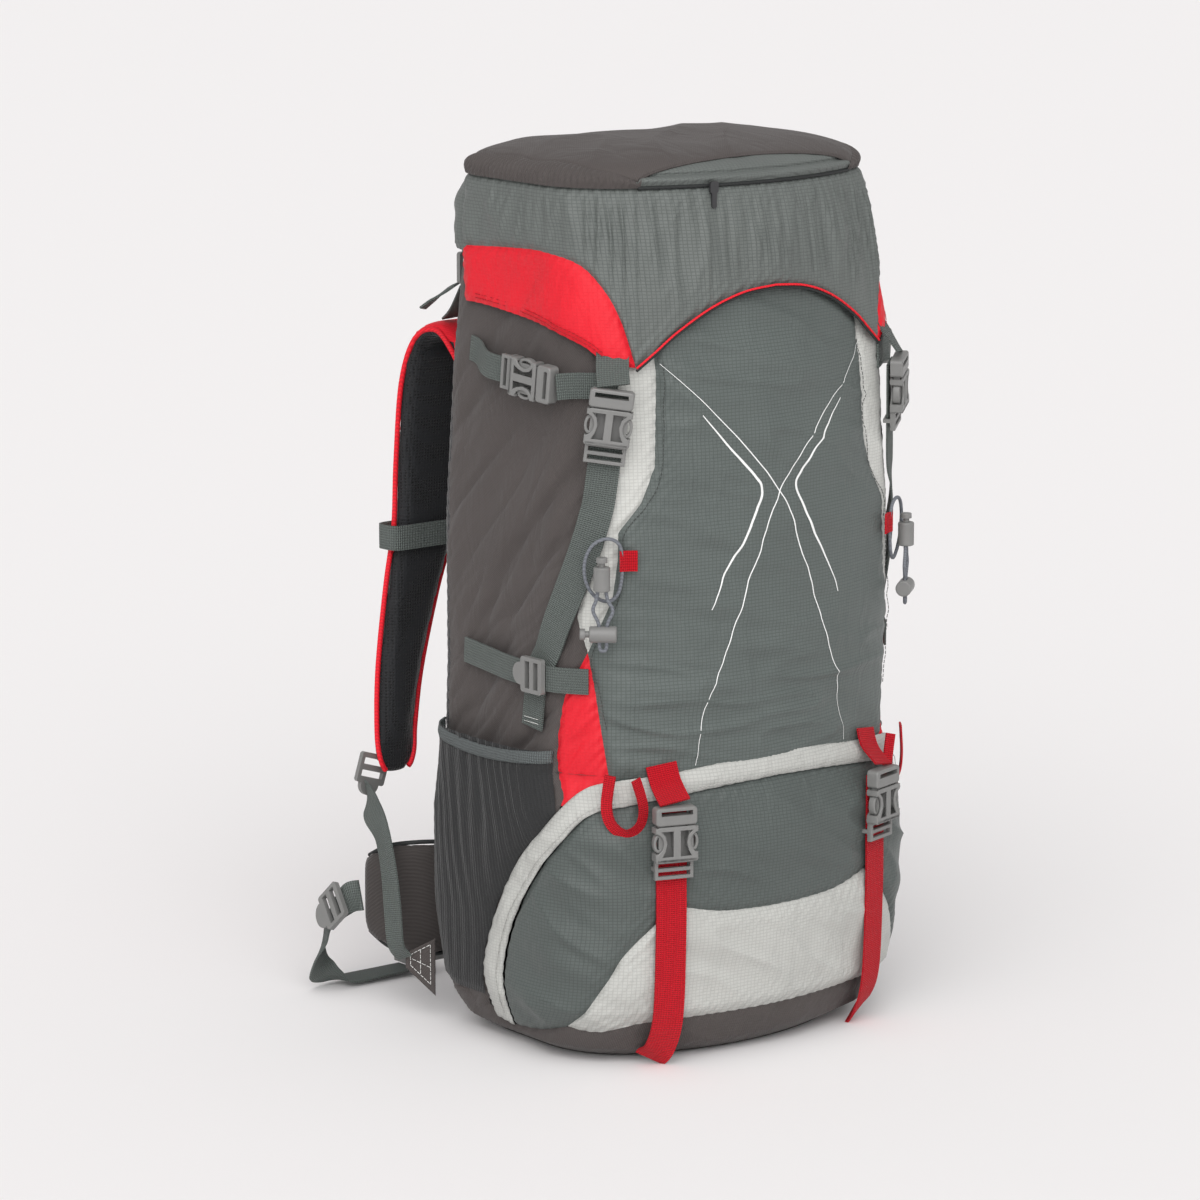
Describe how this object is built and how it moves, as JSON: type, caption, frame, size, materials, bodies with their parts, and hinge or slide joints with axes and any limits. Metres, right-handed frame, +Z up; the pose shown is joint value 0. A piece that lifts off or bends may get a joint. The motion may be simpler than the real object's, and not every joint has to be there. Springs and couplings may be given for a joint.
{
  "type": "hiking backpack",
  "caption": "Tall internal-frame hiking backpack with a buckled lid, curved lower zip flap, mesh side pockets, red accents, padded shoulder straps and a hip belt.",
  "frame": {"origin": "on the flat face the pack stands on, on the mirror plane between left and right, 17 mm towards the wearer's back from the middle of that face", "axes": "+Z up, +Y towards the wearer's back, +X to the wearer's right as the straps are worn; the outer front faces -Y"},
  "size_m": [0.3956, 0.3953, 0.7097],
  "materials": {
    "ripstop_grey_green": "grey-green ripstop nylon, slight coated sheen",
    "ripstop_light": "light grey ripstop nylon",
    "twill_brown_grey": "brown-grey coated twill, matt",
    "mesh_charcoal": "charcoal pleated knit mesh",
    "lining": "thin dark coated lining",
    "webbing_grey": "dark green-grey woven polyester webbing",
    "webbing_red": "red woven polyester webbing",
    "spacer_black": "black spacer mesh over foam with red edge binding",
    "foam_pad": "black mesh covered foam",
    "buckle_grey": "mid-grey moulded acetal",
    "elastic_cord": "grey elastic cord with braided cover",
    "sheet_plastic": "thin polyethylene frame sheet",
    "stay_alloy": "bent aluminium bar",
    "zip_dark": "dark coated slider"
  },
  "bodies": {
    "pack_body": {"front_panel": "ripstop_grey_green", "lower_front_panel": "ripstop_grey_green", "left_side_panel": "twill_brown_grey", "right_side_panel": "twill_brown_grey", "back_panel": "foam_pad", "base_panel": "twill_brown_grey", "compartment_floor": "lining", "collar": "lining", "frame_sheet": "sheet_plastic", "frame_stays": "stay_alloy", "back_pads": "foam_pad", "left_mesh_pocket": "mesh_charcoal", "right_mesh_pocket": "mesh_charcoal", "zip_flap": "ripstop_light", "strap_plugs": "buckle_grey", "upper_straps": "webbing_grey", "lower_straps": "webbing_grey", "lid_strap_webbing": "webbing_grey", "front_straps": "webbing_red", "ladder_locks": "buckle_grey", "red_loops": "webbing_red", "cord_lock_bodies": "buckle_grey", "left_bungee_cords": "elastic_cord", "right_bungee_cords": "elastic_cord", "load_lifters": "webbing_grey", "lower_webbing": "webbing_grey", "corner_tabs": "twill_brown_grey"},
    "lid": {"lid_shell": "ripstop_grey_green", "lid_floor": "lining", "lid_flap": "webbing_grey", "lid_plugs": "buckle_grey", "lid_webbing": "webbing_grey"},
    "lid_zip": {"lid_zip_slider": "zip_dark"},
    "left_lid_buckle": {"left_lid_socket": "buckle_grey"},
    "right_lid_buckle": {"right_lid_socket": "buckle_grey"},
    "left_upper_buckle": {"left_upper_socket": "buckle_grey"},
    "right_upper_buckle": {"right_upper_socket": "buckle_grey"},
    "left_front_buckle": {"left_front_socket": "buckle_grey"},
    "right_front_buckle": {"right_front_socket": "buckle_grey"},
    "left_upper_button": {"left_upper_plunger": "buckle_grey"},
    "right_upper_button": {"right_upper_plunger": "buckle_grey"},
    "left_lower_button": {"left_lower_plunger": "buckle_grey"},
    "right_lower_button": {"right_lower_plunger": "buckle_grey"},
    "haul_handle": {"haul_loop": "webbing_grey"},
    "left_shoulder": {"left_shoulder_strap": "spacer_black", "left_sternum_webbing": "webbing_grey", "sternum_plug": "buckle_grey", "left_strap_lock": "buckle_grey"},
    "right_shoulder": {"right_shoulder_strap": "spacer_black", "right_sternum_webbing": "webbing_grey", "right_strap_lock": "buckle_grey"},
    "sternum_buckle": {"sternum_socket": "buckle_grey"},
    "left_hip": {"left_hip_wing": "twill_brown_grey", "left_hip_webbing": "webbing_grey", "left_hip_adjuster": "buckle_grey", "hip_plug": "buckle_grey"},
    "right_hip": {"right_hip_wing": "twill_brown_grey", "right_hip_webbing": "webbing_grey", "right_hip_adjuster": "buckle_grey"},
    "hip_buckle": {"hip_socket": "buckle_grey"}
  },
  "joints": [
    {"name": "lid_hinge", "type": "hinge", "parent": "pack_body", "child": "lid", "pos_m": [0, 0.105, 0.54], "axis": [-1, 0, 0], "range_deg": [0, 85]},
    {"name": "lid_zip", "type": "hinge", "parent": "lid", "child": "lid_zip", "pos_m": [0, 0.13538, 0.684], "axis": [0, 0, 1], "range_deg": [-10, 32]},
    {"name": "left_lid_unclip", "type": "slide", "parent": "pack_body", "child": "left_lid_buckle", "axis": [-0.0893, 0.0893, -0.992], "range_m": [0, 0.022]},
    {"name": "right_lid_unclip", "type": "slide", "parent": "pack_body", "child": "right_lid_buckle", "axis": [0.0893, 0.0893, -0.992], "range_m": [0, 0.022]},
    {"name": "left_upper_unclip", "type": "slide", "parent": "pack_body", "child": "left_upper_buckle", "axis": [-0.1385, 0.9854, 0.0995], "range_m": [0, 0.022]},
    {"name": "right_upper_unclip", "type": "slide", "parent": "pack_body", "child": "right_upper_buckle", "axis": [0.1385, 0.9854, 0.0995], "range_m": [0, 0.022]},
    {"name": "left_front_unclip", "type": "slide", "parent": "pack_body", "child": "left_front_buckle", "axis": [0, 0, -1], "range_m": [0, 0.022]},
    {"name": "right_front_unclip", "type": "slide", "parent": "pack_body", "child": "right_front_buckle", "axis": [0, 0, -1], "range_m": [0, 0.022]},
    {"name": "left_upper_press", "type": "slide", "parent": "pack_body", "child": "left_upper_button", "axis": [0, 0, -1], "range_m": [0, 0.0025], "stiffness_N_per_m": 200},
    {"name": "right_upper_press", "type": "slide", "parent": "pack_body", "child": "right_upper_button", "axis": [0, 0, -1], "range_m": [0, 0.0025], "stiffness_N_per_m": 200},
    {"name": "left_lower_press", "type": "slide", "parent": "pack_body", "child": "left_lower_button", "axis": [0.766, -0.6428, 0], "range_m": [0, 0.0025], "stiffness_N_per_m": 200},
    {"name": "right_lower_press", "type": "slide", "parent": "pack_body", "child": "right_lower_button", "axis": [-0.766, -0.6428, 0], "range_m": [0, 0.0025], "stiffness_N_per_m": 200},
    {"name": "haul_swing", "type": "hinge", "parent": "pack_body", "child": "haul_handle", "pos_m": [0, 0.1085, 0.528], "axis": [1, 0, 0], "range_deg": [0, 60]},
    {"name": "left_shoulder_swing", "type": "hinge", "parent": "pack_body", "child": "left_shoulder", "pos_m": [0, 0.108, 0.515], "axis": [1, 0, 0], "range_deg": [0, 25], "deforming": ["load_lifters", "lower_webbing"]},
    {"name": "right_shoulder_swing", "type": "hinge", "parent": "pack_body", "child": "right_shoulder", "pos_m": [0, 0.108, 0.515], "axis": [1, 0, 0], "range_deg": [0, 25]},
    {"name": "sternum_unclip", "type": "slide", "parent": "right_shoulder", "child": "sternum_buckle", "axis": [1, 0, 0], "range_m": [0, 0.022]},
    {"name": "left_hip_swing", "type": "hinge", "parent": "pack_body", "child": "left_hip", "pos_m": [-0.1, 0.115, 0.092], "axis": [0, 0, 1], "range_deg": [-15, 6]},
    {"name": "right_hip_swing", "type": "hinge", "parent": "pack_body", "child": "right_hip", "pos_m": [0.1, 0.115, 0.092], "axis": [0, 0, 1], "range_deg": [-6, 15]},
    {"name": "hip_socket_slide", "type": "slide", "parent": "right_hip", "child": "hip_buckle", "axis": [1, 0, 0], "range_m": [0, 0.022]}
  ],
  "couplings": [
    {"joint": "left_shoulder_swing", "follows": "right_shoulder_swing", "ratio": 1}
  ]
}
